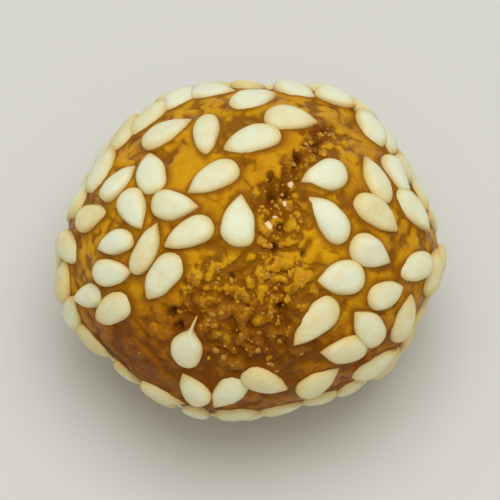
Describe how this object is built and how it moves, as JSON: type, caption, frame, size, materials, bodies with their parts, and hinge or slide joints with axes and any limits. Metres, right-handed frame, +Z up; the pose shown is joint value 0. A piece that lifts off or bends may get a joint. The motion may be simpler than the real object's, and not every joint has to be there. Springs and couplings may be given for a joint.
{
  "type": "sesame laughing cookie",
  "caption": "Small ball of fried dough rolled in sesame seeds, split open on top along a rough seam of bare, crumbly dough.",
  "frame": {"origin": "middle of the cookie's box, at the level of the flat spot it rests on", "axes": "+Z up, +X along the cookie's longest way across, -Y towards a person who looks down on its split face"},
  "size_m": [0.0248, 0.022, 0.0201],
  "materials": {
    "fried_dough": "golden brown fried dough, crumbly where it split, with a faint film of oil",
    "sesame_seed": "pale cream hulled sesame, dry and matte, golden at the tips"
  },
  "bodies": {
    "root": {"cookie": "fried_dough"}
  },
  "joints": []
}
